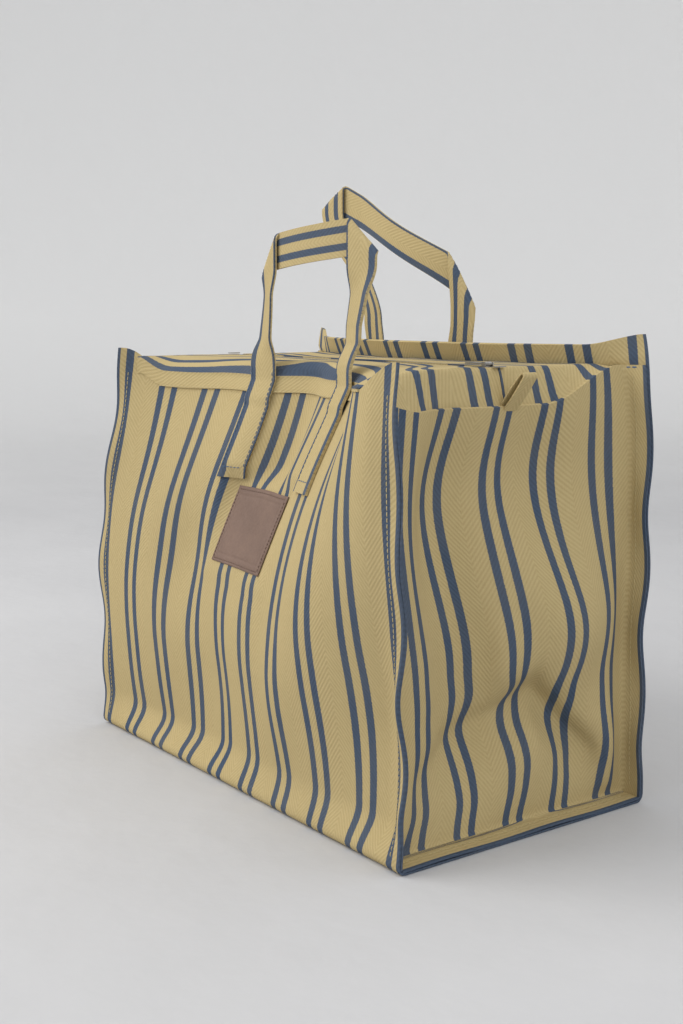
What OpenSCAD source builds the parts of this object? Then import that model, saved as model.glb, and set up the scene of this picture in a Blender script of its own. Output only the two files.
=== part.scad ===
// Striped cloth carry-all with a zipped top: one long cloth strip makes the front,
// the bottom and the back, and two gussets close the ends with outward seam flanges.
// Millimetres. The origin is the middle of the base, X runs along the bag,
// the front faces -Y and Z is up.

/* [Bag] */
// Length over the seam flanges
bag_l = 500; // [440:5:560]
// Width of the bottom, front to back
bag_w = 280; // [240:5:320]
// Height of the gusset corners
bag_h = 400; // [360:5:440]
// Thickness of the cloth
cloth_t = 2; // [1.5:0.1:2.4]
// Width of the seam flanges at both ends
flange_w = 22; // [16:1:28]
// How far the closed zip draws each long side in at the top
pull_in = 70; // [40:1:72]
// How far each long side bellies out
belly = 8; // [2:1:12]
// How far each end bellies out
end_belly = 26; // [4:1:30]

/* [Top edge] */
// Height of the front top edge at mid-length
front_top = 386; // [372:1:392]
// Height of the back top edge at mid-length
back_top = 404; // [396:1:412]
// Extra height of the four corners
ear_rise = 10; // [4:1:14]
// Sag of the gusset's top edge at mid-width
gusset_sag = 34; // [20:1:44]

/* [Zip] */
// Length of each mouth flap along the zip
flap_l = 400; // [360:5:420]
// Distance of the flap folds from the zip
fold_y = 58; // [50:1:58]
// Bare zipper tape left beside the teeth by each flap
tape_show = 6; // [5:0.5:8]
// Where the slider rests when the zip is closed
slider_x = 190; // [170:1:190]
// Length of the slider's pull
pull_l = 24; // [18:1:24]

/* [Handles] */
// Distance between the two legs of a handle, centre to centre
leg_gap = 138; // [100:1:140]
// Width of the strap
strap_w = 31; // [24:1:34]
// Thickness of the doubled strap
strap_t = 3; // [2.4:0.1:3.4]
// Length of leg sewn to the bag
leg_sewn = 102; // [84:1:104]
// Straight rise of each back leg above the top edge
leg_rise = 73; // [60:1:100]
// Height of the front loop's folded top above its hinge line
fold_rise = 112; // [80:1:116]

/* [Patch] */
// Width of the leather patch
patch_w = 100; // [60:1:110]
// Height of the leather patch
patch_h = 70; // [40:1:74]
// Height of the patch's lower edge
patch_z = 204; // [150:1:206]

/* [Hidden] */
FRONT = -1;
BACK = 1;
LEFT = -1;
RIGHT = 1;
gap = 0.3;                          // clearance between neighbouring pieces
seam_gap = 1.2;                     // clearance between two curved layers of cloth
wall_x = bag_l / 2 - flange_w;      // outer face of a gusset
deck_z = front_top + gap;           // underside of the zip deck
ledge_l = flap_l + 36;              // length of the zip deck
deck_cells = 14;
seam_x = bag_l / 2 - 12;            // line of the flange seams
stitch_t = 0.5;                     // how far a thread stands off the cloth
stitch_w = 0.8;
skirt_h = 22;                       // depth of zip panel sewn over the front's top edge
tape_t = 0.6;
tape_in = 3.2;
tape_out = 20;
teeth_w = 2.75;
teeth_h = 2.2;
tape_z = deck_z - gap - tape_t;
teeth_z = tape_z + (tape_t - teeth_h) / 2;
slider_l = 13;
slider_w = 10;
plate_t = 1.2;
pull_w = 7;
pull_t = 1.4;
patch_t = 1.8;
bridge_r = 0.8;
slider_top = teeth_z + teeth_h + gap + plate_t;
pull_z = slider_top + bridge_r + 1.4;
arch_r = leg_gap / 2;
arch_steps = 44;

// Columns of the cloth grid: an even run under the zip deck and one seam column at each end
columns = [
    -bag_l / 2, -seam_x,
    for (i = [0:deck_cells]) ledge_l * (i / deck_cells - 0.5),
    seam_x, bag_l / 2
];
draw_table = [for (x = columns) [x, 1 - pow(abs(x) / (bag_l / 2), 3)]];
belly_table = [for (x = columns) [x, 1 - pow(2 * x / bag_l, 2)]];
// Share of the pull-in that the long side takes at height z
function lean(z) = pow(max(0, (z / bag_h - 0.3) / 0.7), 1.6);
// Distance of a long side's outer face from the bag's middle plane
function wall_y(x, z) = bag_w / 2 - pull_in * lookup(x, draw_table) * lean(z)
    + belly * lookup(x, belly_table) * sin(180 * min(1, z / bag_h));
// Height of a long side's top edge, which turns up into an ear at each corner
function top_z(side, x) = (side == FRONT ? front_top : back_top)
    + ear_rise * smooth(max(0, (abs(x) - ledge_l / 2) / (bag_l - ledge_l) * 2));
// Extra distance out of what is sewn over the zip panel's skirt on the front
function lift(side, z) = side == BACK ? 0
    : (cloth_t + seam_gap) * smooth(max(0, min(1, (z - front_top + skirt_h + 18) / 14)));
function smooth(t) = t * t * (3 - 2 * t);

// A curved plate between two grids of points, where skin_b lies behind skin_a
module slab(skin_a, skin_b) {
    rows = len(skin_a);
    cols = len(skin_a[0]);
    all = rows * cols;
    function quad(p, q, r, s) = [[p, r, q], [p, s, r]];
    faces = [
        for (i = [0:rows - 2], j = [0:cols - 2])
            let (p = i * cols + j, q = p + cols)
                each concat(quad(p, p + 1, q + 1, q), quad(all + p, all + q, all + q + 1, all + p + 1)),
        for (i = [0:rows - 2])
            let (p = i * cols, q = p + cols, m = cols - 1)
                each concat(quad(p, q, all + q, all + p), quad(p + m, all + p + m, all + q + m, q + m)),
        for (j = [0:cols - 2])
            let (p = j, q = (rows - 1) * cols + j)
                each concat(quad(p, all + p, all + p + 1, p + 1), quad(q, q + 1, all + q + 1, all + q))
    ];
    polyhedron(points = [each each skin_a, each each skin_b], faces = faces, convexity = 6);
}

// A plate lying along a long side: off is its distance out from the cloth's outer face
module wall_plate(side, x0, x1, z0, z1, off, thick, nx = 4, nz = 6, over = false) {
    start = side == FRONT ? x0 : x1;
    end = side == FRONT ? x1 : x0;
    function skin(out) = [
        for (i = [0:nz]) [
            for (j = [0:nx])
                let (
                    x = start + (end - start) * j / nx,
                    z = z0 + (z1 - z0) * i / nz,
                    y = wall_y(x, z) + out + (over ? lift(side, z) : 0)
                )
                    [x, side * y, z]
        ]
    ];
    slab(skin(off + thick), skin(off));
}

// ---- cloth panels ----

module body_wrap() {
    nz = 16;
    ny = 4;
    function profile(x, inset) = [
        for (i = [nz:-1:0])
            let (z = max(inset, top_z(FRONT, x) * i / nz))
                [x, -(wall_y(x, z) - inset), z],
        for (i = [1:ny - 1])
            let (half = wall_y(x, 0) - inset)
                [x, -half + 2 * half * i / ny, inset],
        for (i = [0:nz])
            let (z = max(inset, top_z(BACK, x) * i / nz))
                [x, wall_y(x, z) - inset, z]
    ];
    color("khaki") slab([for (x = columns) profile(x, 0)], [for (x = columns) profile(x, cloth_t)]);
}

module gusset(end) {
    nz = 10;
    ny = 8;
    lip = flange_w - 2;
    foot = cloth_t + gap;
    function bulge(v, z) = end_belly * (1 - v * v) * sin(180 * min(1, z / bag_h));
    function edge_y(x, z) = wall_y(x, z) - cloth_t - seam_gap;
    function row_z(v, i) = foot + (bag_h - 10 - gusset_sag * (1 - pow(abs(v), 3)) - foot) * i / nz;
    // inset 0 is the face on the bag's inside, cloth_t the one that shows
    function row(i, inset) = [
        for (x = [wall_x + lip, wall_x + lip / 2])
            let (z = row_z(1, i)) [end * x, -edge_y(x, z) + inset, z],
        for (k = [0:ny])
            let (
                v = 2 * k / ny - 1,
                z = row_z(v, i),
                x = wall_x - cloth_t + inset + bulge(v, z)
            )
                [end * x, v * (edge_y(wall_x, z) - inset), z],
        for (x = [wall_x + lip / 2, wall_x + lip])
            let (z = row_z(1, i)) [end * x, edge_y(x, z) - inset, z]
    ];
    face = [for (i = [0:nz]) row(i, cloth_t)];
    lining = [for (i = [0:nz]) row(i, 0)];
    base_y = edge_y(wall_x, foot) - cloth_t / 2;
    color("khaki") union() {
        if (end == RIGHT) slab(face, lining);
        if (end == LEFT) slab(lining, face);
        translate([end * (wall_x + lip / 2 - cloth_t / 4), 0, foot + cloth_t / 2])
            cube([lip + cloth_t / 2, 2 * base_y, cloth_t], center = true);
    }
}

module left_gusset() { gusset(LEFT); }
module right_gusset() { gusset(RIGHT); }

// ---- zip deck ----

// Plan of one half of the fixed deck: it follows the top edge and turns in at both ends
module deck_plan(side, reach) {
    half = ledge_l / 2;
    cut = flap_l / 2 + 1.5;
    fold = fold_y + gap;
    edge = [
        for (i = [0:deck_cells])
            let (x = ledge_l * (i / deck_cells - 0.5)) [x, side * (wall_y(x, deck_z) + reach)]
    ];
    inner = [
        [half, side * tape_in], [cut, side * tape_in], [cut, side * fold],
        [-cut, side * fold], [-cut, side * tape_in], [-half, side * tape_in]
    ];
    polygon(concat(edge, inner));
}

module zip_panel(side, sewn_at) {
    half = ledge_l / 2;
    color("khaki") union() {
        translate([0, 0, deck_z])
            linear_extrude(cloth_t)
                deck_plan(side, sewn_at + cloth_t / 2);
        wall_plate(side, -half, half, deck_z - skirt_h, deck_z + cloth_t, sewn_at, cloth_t, deck_cells, 2);
    }
}

// The front one is sewn over the outside, and the back one to the inside
module front_zip_panel() { zip_panel(FRONT, seam_gap); }
module back_zip_panel() { zip_panel(BACK, -2 * cloth_t - seam_gap); }

module mouth_flap(side) {
    near = tape_in + tape_show;
    color("khaki")
        translate([-flap_l / 2, side > 0 ? near : -fold_y, deck_z])
            cube([flap_l, fold_y - near, cloth_t]);
}

module front_mouth_flap() { mouth_flap(FRONT); }
module back_mouth_flap() { mouth_flap(BACK); }

// ---- zipper ----

module zipper_tape(side) {
    color("dimgray")
        translate([-flap_l / 2, side > 0 ? tape_in : -tape_out, tape_z])
            cube([flap_l, tape_out - tape_in, tape_t]);
}

module front_zipper_tape() { zipper_tape(FRONT); }
module back_zipper_tape() { zipper_tape(BACK); }

module zipper_teeth(side) {
    length = flap_l / 2 + slider_x - 2;
    color("black")
        translate([-flap_l / 2, side > 0 ? tape_in - teeth_w - 0.2 : 0.2 - tape_in, teeth_z])
            cube([length, teeth_w, teeth_h]);
}

module front_zipper_teeth() { zipper_teeth(FRONT); }
module back_zipper_teeth() { zipper_teeth(BACK); }

module zipper_slider() {
    bottom = teeth_z - gap - plate_t;
    slot = tape_t + 0.8;
    slot_z = tape_z + tape_t / 2;
    post_x = slider_l / 2 - 2.6;
    color("silver") translate([slider_x, 0, 0]) {
        difference() {
            translate([-slider_l / 2, -slider_w / 2, bottom])
                cube([slider_l, slider_w, slider_top - bottom]);
            translate([-slider_l / 2 - 1, -tape_in - gap, bottom + plate_t])
                cube([slider_l + 2, 2 * (tape_in + gap), slider_top - bottom - 2 * plate_t]);
            translate([-slider_l / 2 - 1, -slider_w, slot_z - slot / 2])
                cube([slider_l + 2, 2 * slider_w, slot]);
        }
        translate([post_x, 0, bottom]) cylinder(h = slider_top - bottom, r = 1.5, $fn = 32);
        for (side = [FRONT, BACK])
            translate([-2, side * (pull_w / 2 + 0.9) - 0.6, slider_top - 0.2])
                cube([4, 1.2, pull_z - slider_top + bridge_r + 0.8]);
        translate([0, 0, pull_z]) rotate([90, 0, 0])
            cylinder(h = pull_w + 1.6, r = bridge_r, center = true, $fn = 32);
    }
}

module zipper_pull() {
    eye = bridge_r + 0.1;
    hole = 2.2;
    color("silver") translate([slider_x, 0, pull_z]) rotate([90, 0, 0]) {
        difference() {
            union() {
                cylinder(h = pull_w, r = eye + 1, center = true, $fn = 48);
                translate([-pull_l, -pull_t / 2, -pull_w / 2]) cube([pull_l, pull_t, pull_w]);
            }
            cylinder(h = pull_w + 2, r = eye, center = true, $fn = 48);
            translate([hole + 2 - pull_l, 0, 0]) rotate([90, 0, 0])
                cylinder(h = 2 * pull_t, r = hole, center = true, $fn = 32);
        }
    }
}

module zipper_stops() {
    color("silver")
        for (end = [LEFT, RIGHT])
            translate([end * (flap_l / 2 + 4), 0, deck_z + cloth_t + 0.5])
                cube([4, 2 * tape_in + 6, 0.8], center = true);
}

module zip_tab(end) {
    tab_w = 15;
    tab_l = 30;
    tilt = 50;
    color("khaki")
        translate([end * (ledge_l / 2 + 2.4), 0, deck_z + 1])
            rotate([0, end * tilt, 0])
                translate([0, 0, tab_l / 2])
                    cube([2.6, tab_w, tab_l], center = true);
}

module left_zip_tab() { zip_tab(LEFT); }
module right_zip_tab() { zip_tab(RIGHT); }

// ---- handles ----

// The loops turn on lines just outside the top edges, where the straps leave the bag
function axis_z(side) = side == FRONT ? deck_z + cloth_t + 3 : back_top + 4;
function leg_top(side) = axis_z(side) - 2.5;
function axis_y(side) = wall_y(leg_gap / 2, leg_top(side)) + lift(side, leg_top(side))
    + 2 * gap + strap_t;

module handle_leg(side, end) {
    x = end * leg_gap / 2;
    z = leg_top(side);
    color("khaki")
        wall_plate(side, x - strap_w / 2, x + strap_w / 2, z - leg_sewn, z, gap, strap_t, 3, 10, true);
}

module front_left_handle_leg() { handle_leg(FRONT, LEFT); }
module front_right_handle_leg() { handle_leg(FRONT, RIGHT); }
module back_left_handle_leg() { handle_leg(BACK, LEFT); }
module back_right_handle_leg() { handle_leg(BACK, RIGHT); }

// The strap rises flat against the bag, turns edge-on and arches over to the other leg
module handle_loop(side) {
    base = 1;
    arc_l = PI * arch_r;
    loop_l = 2 * leg_rise + arc_l;
    function swing(s) = max(0, min(180, (s - leg_rise) / arc_l * 180));
    function twist(s) = 90 * smooth(min(1, min(s, loop_l - s) / (leg_rise + 8)));
    function rise(s) = min(s, loop_l - s, leg_rise) + arch_r * sin(swing(s));
    function centre(s) = [-arch_r * cos(swing(s)), axis_y(side) - gap - strap_t / 2, rise(s) + base];
    function along(s) = [sin(swing(s)), 0, cos(swing(s))];
    function across(s) =
        let (t = along(s), a = twist(s)) [t[2] * cos(a), sin(a), -t[0] * cos(a)];
    function skin(out) = [
        for (i = [0:arch_steps])
            let (s = loop_l * i / arch_steps, w = across(s), n = cross(along(s), w))
                [for (e = [-1, 1]) centre(s) + n * out + w * e * strap_w / 2]
    ];
    color("khaki")
        translate([0, 0, axis_z(side)])
            mirror([0, side == FRONT ? 1 : 0, 0])
                slab(skin(-strap_t / 2), skin(strap_t / 2));
}

// The front loop is folded over diagonally at both shoulders, so its top lies behind its legs
module folded_loop(side) {
    half = strap_w / 2;
    low = fold_rise - half;
    high = fold_rise + half;
    in = leg_gap / 2 - half;
    out = leg_gap / 2 + half;
    outer = side * (axis_y(side) - gap);
    inner = side * (axis_y(side) - gap - strap_t);
    module layer(y, points)
        translate([0, y, axis_z(side)])
            rotate([90, 0, 0])
                linear_extrude(strap_t, center = true)
                    polygon(points);
    color("khaki") union() {
        for (end = [LEFT, RIGHT])
            layer((outer + inner) / 2, [[end * out, 1], [end * in, 1], [end * in, high], [end * out, low]]);
        layer(inner - side * (strap_t / 2 - 0.1), [[-out, low], [-in, high], [in, high], [out, low]]);
    }
}

module front_handle() { folded_loop(FRONT); }
module back_handle() { handle_loop(BACK); }

// ---- patch and thread ----

module leather_patch() {
    color("rosybrown")
        wall_plate(FRONT, -patch_w / 2, patch_w / 2, patch_z, patch_z + patch_h, gap, patch_t, 6, 4);
}

module patch_stitching() {
    off = gap + patch_t + 0.1;
    x = patch_w / 2 - 3;
    color("saddlebrown") {
        for (end = [LEFT, RIGHT])
            wall_plate(FRONT, end * x - stitch_w / 2, end * x + stitch_w / 2, patch_z + 4,
                patch_z + patch_h - 4, off, stitch_t, 1, 4);
        for (z = [patch_z + 3, patch_z + patch_h - 3])
            wall_plate(FRONT, 2 - x, x - 2, z - stitch_w / 2, z + stitch_w / 2, off, stitch_t, 6, 1);
    }
}

module leg_stitching(side) {
    off = gap + strap_t + 0.1;
    z = leg_top(side);
    foot = z - leg_sewn;
    edge = strap_w / 2 - 2;
    color("steelblue")
        for (leg = [LEFT, RIGHT]) {
            x = leg * leg_gap / 2;
            for (end = [LEFT, RIGHT])
                wall_plate(side, x + end * edge - stitch_w / 2, x + end * edge + stitch_w / 2, foot, z,
                    off, stitch_t, 1, 10, true);
            wall_plate(side, x - edge + 1, x + edge - 1, foot + 2, foot + 2 + stitch_w, off, stitch_t, 3, 1);
        }
}

module front_leg_stitching() { leg_stitching(FRONT); }
module back_leg_stitching() { leg_stitching(BACK); }

// One row along the skirt's lower edge, broken where the handle legs cross it
module front_top_stitching() {
    z = deck_z - skirt_h + 3;
    leg_in = (leg_gap - strap_w) / 2 - 1;
    leg_out = (leg_gap + strap_w) / 2 + 1;
    color("khaki")
        for (run = [[-ledge_l / 2, -leg_out], [-leg_in, leg_in], [leg_out, ledge_l / 2]])
            wall_plate(FRONT, run[0], run[1], z, z + stitch_w, seam_gap + cloth_t + 0.4, stitch_t, 6, 1);
}

module seam_stitching(end) {
    x = end * seam_x;
    foot = 2 * cloth_t + gap;
    color("goldenrod") {
        for (side = [FRONT, BACK])
            wall_plate(side, x - stitch_w / 2, x + stitch_w / 2, 12, top_z(side, seam_x) - 6, 0.4,
                stitch_t, 1, 16);
        translate([x - stitch_w / 2, 10 - wall_y(seam_x, 0), foot + 0.1])
            cube([stitch_w, 2 * wall_y(seam_x, 0) - 20, stitch_t]);
    }
}

module left_seam_stitching() { seam_stitching(LEFT); }
module right_seam_stitching() { seam_stitching(RIGHT); }

body_wrap();
left_gusset();
right_gusset();
front_zip_panel();
back_zip_panel();
front_mouth_flap();
back_mouth_flap();
front_zipper_tape();
back_zipper_tape();
front_zipper_teeth();
back_zipper_teeth();
zipper_slider();
zipper_pull();
zipper_stops();
left_zip_tab();
right_zip_tab();
front_handle();
back_handle();
front_left_handle_leg();
front_right_handle_leg();
back_left_handle_leg();
back_right_handle_leg();
front_leg_stitching();
back_leg_stitching();
leather_patch();
patch_stitching();
front_top_stitching();
left_seam_stitching();
right_seam_stitching();
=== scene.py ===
"""A striped, zip-top cloth bag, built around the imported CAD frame.

Lengths are in millimetres until a mesh is made. X runs along the bag, the front faces -Y and Z is up.
Cloth is a grid of points with its own flat coordinates, so the woven stripes follow every fold.
"""
import math

import bpy
import numpy as np
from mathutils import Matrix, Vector


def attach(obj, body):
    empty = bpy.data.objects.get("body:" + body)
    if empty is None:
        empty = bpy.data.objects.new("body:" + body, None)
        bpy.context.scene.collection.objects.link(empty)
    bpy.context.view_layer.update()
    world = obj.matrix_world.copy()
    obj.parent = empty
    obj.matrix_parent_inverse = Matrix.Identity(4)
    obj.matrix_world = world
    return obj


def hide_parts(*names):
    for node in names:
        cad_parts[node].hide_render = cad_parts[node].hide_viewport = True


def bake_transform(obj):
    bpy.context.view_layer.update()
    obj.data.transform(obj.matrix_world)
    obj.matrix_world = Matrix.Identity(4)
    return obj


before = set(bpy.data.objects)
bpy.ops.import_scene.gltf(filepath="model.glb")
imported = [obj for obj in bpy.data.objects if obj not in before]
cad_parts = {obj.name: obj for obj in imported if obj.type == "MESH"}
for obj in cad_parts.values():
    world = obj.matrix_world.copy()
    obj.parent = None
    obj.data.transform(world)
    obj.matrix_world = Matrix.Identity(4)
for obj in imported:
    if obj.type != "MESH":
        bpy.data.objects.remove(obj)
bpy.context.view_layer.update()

# ---- sizes ----

MM = 0.001
FRONT, BACK = -1, 1
LEFT, RIGHT = -1, 1
SIDES = ((FRONT, "front"), (BACK, "back"))
ENDS = ((LEFT, "left"), (RIGHT, "right"))
HALF_LONG = 250.0  # half the bag's length over the seam flanges
HALF_WIDE = 140.0  # half the width of the bottom
TALL = 400.0  # height of the bag without its handles
CLOTH = 1.8  # thickness of the ticking
LAYER = 0.7  # air between two layers sewn together
DOUBLE = 2 * CLOTH + LAYER  # two layers sewn together
PITCH = 54.5  # from one pair of stripes to the next
PAIR = 8.0  # a stripe's distance from the middle of its pair
STRIPE = 7.5  # width of a stripe
SEAM_U = 238.0  # line of the flange seams on the cloth
FRONT_CUT = 388.0  # cloth of the front, from the bottom fold to the top edge
BACK_CUT = 413.0  # the same for the back
FRONT_TOP = 374.0  # height of the front's top edge at mid-length
BACK_TOP = 405.0  # the same for the back
PULL_IN = 70.0  # how far the closed zip draws the long sides in
BELLY = 8.0  # how far the long sides bulge at mid-height
EDGE_R = 7.0  # radius of the two long bottom edges
DECK_Z = 388.3  # top face of the zip deck
FOLD_Y = 58.0  # hinge lines of the two mouth flaps
FAR = 40.0  # distance to a selvedge, for cloth that has none near it
PATCH_W, PATCH_H = 100.0, 70.0
PATCH_U, PATCH_Z = -7.0, 204.0  # the middle of the patch across the cloth, and its lower edge
# Where the middles of the left and the right handle leg are sewn, across the cloth
LEGS = {FRONT: (-65.0, 78.0), BACK: (-64.0, 63.0)}
STRAP_W = 31.0  # width and thickness of the handles' strap
STRAP_T = 2.6
LEG_SEWN = 94.0  # length of each sewn strap end
SKIRT = 16.0  # zip panel sewn over the outside of the front's top edge


def smooth(t):
    """A soft step from 0 to 1, as t goes from 0 to 1"""
    t = np.clip(t, 0, 1)
    return t * t * (3 - 2 * t)


def hump(x, centre, width):
    """A soft bump of height 1"""
    return np.exp(-((x - centre) / width) ** 2)


def running(values, steps, axis):
    """The running integral of values along an axis, from 0"""
    values = np.moveaxis(values, axis, 0)
    steps = np.diff(steps).reshape((-1,) + (1,) * (values.ndim - 1))
    total = np.cumsum((values[1:] + values[:-1]) / 2 * steps, axis=0)
    total = np.concatenate([np.zeros_like(values[:1]), total])
    return np.moveaxis(total, 0, axis)


def stretched(slope):
    """How far a cloth with a given slope gets per millimetre of its own length"""
    return np.sqrt(np.clip(1 - slope ** 2, 0.15, 1))


# ---- meshes ----

def tidy_mesh(name, points, faces, cloth=None, sharp=50):
    """A mesh object from points in millimetres, with the cloth's flat coordinates as an attribute"""
    mesh = bpy.data.meshes.new(name)
    mesh.from_pydata((np.asarray(points) * MM).tolist(), [], [list(f) for f in faces])
    if cloth is not None:
        layer = mesh.attributes.new("cloth", "FLOAT_VECTOR", "POINT")
        layer.data.foreach_set("vector", np.asarray(cloth, np.float32).ravel())
    mesh.validate()
    mesh.shade_smooth()
    mesh.set_sharp_from_angle(angle=math.radians(sharp))
    obj = bpy.data.objects.new(name, mesh)
    bpy.context.scene.collection.objects.link(obj)
    return obj


def grid_normals(face):
    across = np.gradient(face, axis=0)
    along = np.gradient(face, axis=1)
    normal = np.cross(across, along)
    return normal / np.maximum(np.linalg.norm(normal, axis=2, keepdims=True), 1e-9)


def cloth_mesh(name, face, flat, thick=CLOTH, keep=None, sharp=50, hidden=None):
    """A closed cloth: face is the grid of its shown skin, and the other skin lies thick behind it.

    The shown side is the one that across x along points to. flat is (across the stripes, along them,
    distance to the nearest selvedge), hidden is the same for the other skin where it differs, and keep
    says which cells of the grid are cloth.
    """
    rows, cols = face.shape[:2]
    thick = np.broadcast_to(np.asarray(thick, float), (rows, cols))
    back = face - grid_normals(face) * thick[..., None]
    cells = np.ones((rows - 1, cols - 1), bool) if keep is None else keep
    index = np.arange(rows * cols).reshape(rows, cols)
    size = rows * cols
    i, j = np.nonzero(cells)
    ring = [index[i, j], index[i + 1, j], index[i + 1, j + 1], index[i, j + 1]]
    faces = [np.stack(ring, 1), np.stack([r + size for r in ring[::-1]], 1)]
    padded_cells = np.pad(cells, 1)
    for a, b, di, dj in ((0, 1, 0, -1), (1, 2, 1, 0), (2, 3, 0, 1), (3, 0, -1, 0)):
        rim = ~padded_cells[i + 1 + di, j + 1 + dj]
        p, q = ring[a][rim], ring[b][rim]
        faces.append(np.stack([q, p, p + size, q + size], 1))
    faces = np.concatenate(faces)
    points = np.concatenate([face.reshape(-1, 3), back.reshape(-1, 3)])
    flat = np.concatenate([skin.reshape(-1, 3) for skin in (flat, flat if hidden is None else hidden)])
    used = np.unique(faces)
    renumber = np.zeros(size * 2, int)
    renumber[used] = np.arange(len(used))
    return tidy_mesh(name, points[used], renumber[faces], flat[used], sharp)


def plain_flat(u, v):
    """Flat coordinates for a piece of cloth with no selvedge"""
    return np.stack([u, v, np.full(u.shape, FAR)], 2)


def mirrored(side, *grids):
    """Grids laid out for the front, with their columns reversed for the back so that they face up"""
    return grids if side == FRONT else tuple(grid[:, ::-1] for grid in grids)


def arc_lengths(grid):
    """Distance along each row of a grid of points"""
    steps = np.linalg.norm(np.diff(grid, axis=1), axis=2)
    return np.pad(np.cumsum(steps, axis=1), ((0, 0), (1, 0)))


def boxes_mesh(name, centres, size, bevel):
    """Many small equal boxes in one mesh"""
    corner = np.array([[x, y, z] for x in (-.5, .5) for y in (-.5, .5) for z in (-.5, .5)]) * size
    quads = np.array([[0, 1, 3, 2], [4, 6, 7, 5], [0, 4, 5, 1], [2, 3, 7, 6], [0, 2, 6, 4], [1, 5, 7, 3]])
    points, faces = [], []
    for n, centre in enumerate(centres):
        points.append(np.asarray(centre) + corner)
        faces.append(quads + 8 * n)
    obj = tidy_mesh(name, np.concatenate(points), np.concatenate(faces), sharp=30)
    rounding = obj.modifiers.new("round", "BEVEL")
    rounding.width = bevel * MM
    rounding.segments = 2
    bpy.context.view_layer.update()
    done = bpy.data.meshes.new_from_object(obj.evaluated_get(bpy.context.evaluated_depsgraph_get()))
    obj.modifiers.clear()
    obj.data = done
    return obj


def stitch_row(path, outward, stitch=3.6, space=1.0, radius=0.42):
    """Points and faces of a row of stitches: each is a short thread that dips at both ends"""
    length = np.concatenate([[0], np.cumsum(np.linalg.norm(np.diff(path, axis=0), axis=1))])

    def read(rows, s):
        return np.stack([np.interp(s, length, rows[:, k]) for k in range(3)], -1)

    def unit(v):
        return v / np.linalg.norm(v, axis=-1, keepdims=True)

    sides, stations, lift = 6, 7, 0.25
    t = np.linspace(0, 1, stations)
    s = np.arange(space, length[-1] - stitch, stitch + space)[:, None] + stitch * t
    arch = np.sin(np.pi * t)[:, None]
    normal = unit(read(outward, s))
    along = unit(read(path, np.minimum(s + 0.5, length[-1])) - read(path, np.maximum(s - 0.5, 0)))
    centre = read(path, s) + normal * (lift + 0.35 * radius * arch - 0.5 * radius * (1 - arch))
    turn = 2 * np.pi * np.arange(sides)[:, None] / sides
    ring = np.cos(turn) * np.cross(along, normal)[:, :, None] + np.sin(turn) * normal[:, :, None]
    points = centre[:, :, None] + radius * (0.55 + 0.45 * arch[..., None]) * ring
    index = np.arange(points.size // 3).reshape(-1, stations, sides)
    after = np.roll(index, -1, 2)
    quads = np.stack([index[:, :-1], after[:, :-1], after[:, 1:], index[:, 1:]], -1)
    caps = np.concatenate([index[:, 0, ::-1], index[:, -1]])
    return points.reshape(-1, 3).tolist(), quads.reshape(-1, 4).tolist() + caps.tolist()


def threads(name, rows, **how):
    """Several rows of stitches in one mesh"""
    points, faces = [], []
    for path, outward in rows:
        row_points, row_faces = stitch_row(path, outward, **how)
        faces += [tuple(k + len(points) for k in face) for face in row_faces]
        points += row_points
    return tidy_mesh(name, points, faces)


# ---- how the cloth hangs ----

# Folds of the front: where along the bag, how wide, how high up, how tall, and how far out
FRONT_FOLDS = [
    (-12, 35, 302, 102, -26),
    (16, 500, 20, 140, -12),
    (-64, 67, 90, 100, -12),
    (-101, 46, 204, 60, -15),
    (185, 57, 356, 210, 32),
    (240, 122, 122, 100, -21),
    (121, 44, 166, 124, 13),
    (81, 27, 105, 56, 7),
    (-163, 53, 20, 40, -6),
]
# Folds of the back, which hangs more evenly
BACK_FOLDS = [
    (-150, 60, 300, 90, 14),
    (-20, 70, 150, 110, -13),
    (70, 34, 260, 90, 8),
    (170, 46, 120, 90, -12),
    (205, 34, 300, 80, 9),
]


UPRIGHT = 0.3  # share of the height up to which a long side stands upright
FLUTE = 1.3  # depth of the soft flutes all over the long sides
RIPPLE = 2.6  # depth of the ripples along the corner seams
CORNER_U = 232.0  # where the ripples begin


def lean(h):
    """Share of the pull-in that a long side takes at height h"""
    return np.maximum(0, (h / TALL - UPRIGHT) / (1 - UPRIGHT)) ** 1.6


def folds_out(folds, u, h):
    """How far a list of folds pushes the cloth out"""
    return sum(out * hump(u, at_u, wide) * hump(h, at_h, high) for at_u, wide, at_h, high, out in folds)


def side_depth(side, u, h):
    """Distance of a long side's outer face from the bag's middle plane"""
    pull = PULL_IN * (1 - np.abs(u / HALF_LONG) ** 2.4) * lean(h)
    belly = BELLY * (1 - (u / HALF_LONG) ** 2) * np.sin(np.pi * np.clip(h / TALL, 0, 1))
    rest = folds_out(FRONT_FOLDS if side == FRONT else BACK_FOLDS, u, h)
    flutes = FLUTE * np.sin(u / 21.0 + 0.012 * h + side) * smooth(h / 120)
    ripple = RIPPLE * np.sin(h / 17.0 + side + np.sign(u)) * smooth((np.abs(u) - CORNER_U) / 16)
    free = smooth(h / 40) * (1 - smooth((np.abs(u) - 215) / 40) * 0.75)
    return HALF_WIDE - pull + (belly + rest + flutes) * free + ripple * smooth(h / 60)


# How much the left and the right half of a long side are stretched or gathered at the top
SLACK = {FRONT: (0.0, -0.096), BACK: (0.05, -0.03)}
SHIFT = {FRONT: 41, BACK: 12}  # how far the middle of the top is pushed along the bag
EARS = {FRONT: 23, BACK: 8}  # how much the top edge rises at both corners
TOPS = {FRONT: FRONT_TOP, BACK: BACK_TOP}


def side_shift(side, h):
    """How far the middle of a long side is pushed along the bag"""
    return SHIFT[side] * smooth((h - 160) / 240)


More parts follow.
